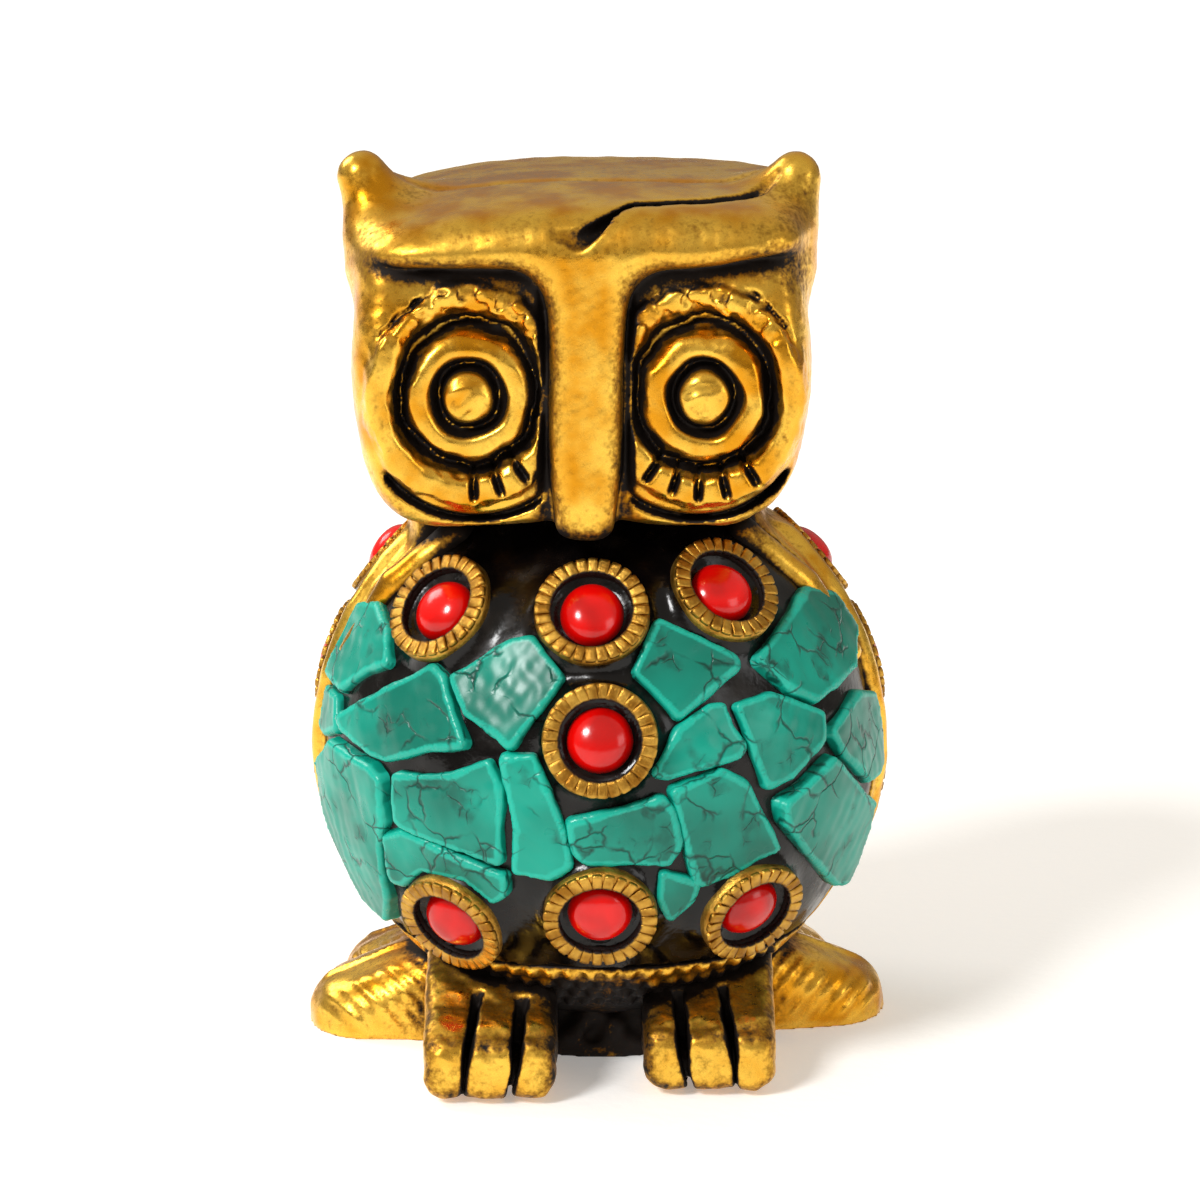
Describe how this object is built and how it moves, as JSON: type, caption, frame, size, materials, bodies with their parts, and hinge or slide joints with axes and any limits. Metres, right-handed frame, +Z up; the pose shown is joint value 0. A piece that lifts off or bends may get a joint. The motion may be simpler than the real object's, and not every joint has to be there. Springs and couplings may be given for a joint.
{
  "type": "owl figurine",
  "caption": "Standing owl of cast brass; its round belly and wings are set with turquoise slabs and coral cabochons in notched brass bezels, bedded in black lac.",
  "frame": {"origin": "on the ground under the middle of the figure's bounding box, z = 0 where the feet and tail rest", "axes": "+Z up, -Y the way the owl faces, +X to the right of someone looking at its face"},
  "size_m": [0.05, 0.0504, 0.076],
  "materials": {
    "cast_brass": "cast, hand polished on the high places, dark in the hollows",
    "fired_clay": "rough clay baked by the pour, filed level with the underside",
    "bezel_brass": "old, unpolished, notched by hand",
    "black_lac": "glossy natural resin, melted into place",
    "coral": "polished dome",
    "turquoise": "tumbled and waxed, dark veins"
  },
  "bodies": {
    "root": {"brass_casting": "cast_brass", "clay_core": "fired_clay", "chest_lac": "black_lac", "left_wing_lac": "black_lac", "right_wing_lac": "black_lac", "bezel_top_left": "bezel_brass", "bezel_top_middle": "bezel_brass", "bezel_top_right": "bezel_brass", "bezel_centre": "bezel_brass", "bezel_low_left": "bezel_brass", "bezel_low_middle": "bezel_brass", "bezel_low_right": "bezel_brass", "coral_top_left": "coral", "coral_top_middle": "coral", "coral_top_right": "coral", "coral_centre": "coral", "coral_low_left": "coral", "coral_low_middle": "coral", "coral_low_right": "coral", "bezel_left_wing_upper": "bezel_brass", "bezel_left_wing_middle": "bezel_brass", "bezel_left_wing_lower": "bezel_brass", "bezel_right_wing_upper": "bezel_brass", "bezel_right_wing_middle": "bezel_brass", "bezel_right_wing_lower": "bezel_brass", "coral_left_wing_upper": "coral", "coral_left_wing_middle": "coral", "coral_left_wing_lower": "coral", "coral_right_wing_upper": "coral", "coral_right_wing_middle": "coral", "coral_right_wing_lower": "coral", "turquoise_chest_1": "turquoise", "turquoise_chest_2": "turquoise", "turquoise_chest_3": "turquoise", "turquoise_chest_4": "turquoise", "turquoise_chest_5": "turquoise", "turquoise_chest_6": "turquoise", "turquoise_chest_7": "turquoise", "turquoise_chest_8": "turquoise", "turquoise_chest_9": "turquoise", "turquoise_chest_10": "turquoise", "turquoise_chest_11": "turquoise", "turquoise_chest_12": "turquoise", "turquoise_chest_13": "turquoise", "turquoise_chest_14": "turquoise", "turquoise_chest_15": "turquoise", "turquoise_chest_16": "turquoise", "turquoise_chest_17": "turquoise", "turquoise_left_wing_1": "turquoise", "turquoise_left_wing_2": "turquoise", "turquoise_left_wing_3": "turquoise", "turquoise_left_wing_4": "turquoise", "turquoise_right_wing_1": "turquoise", "turquoise_right_wing_2": "turquoise", "turquoise_right_wing_3": "turquoise", "turquoise_right_wing_4": "turquoise"}
  },
  "joints": []
}
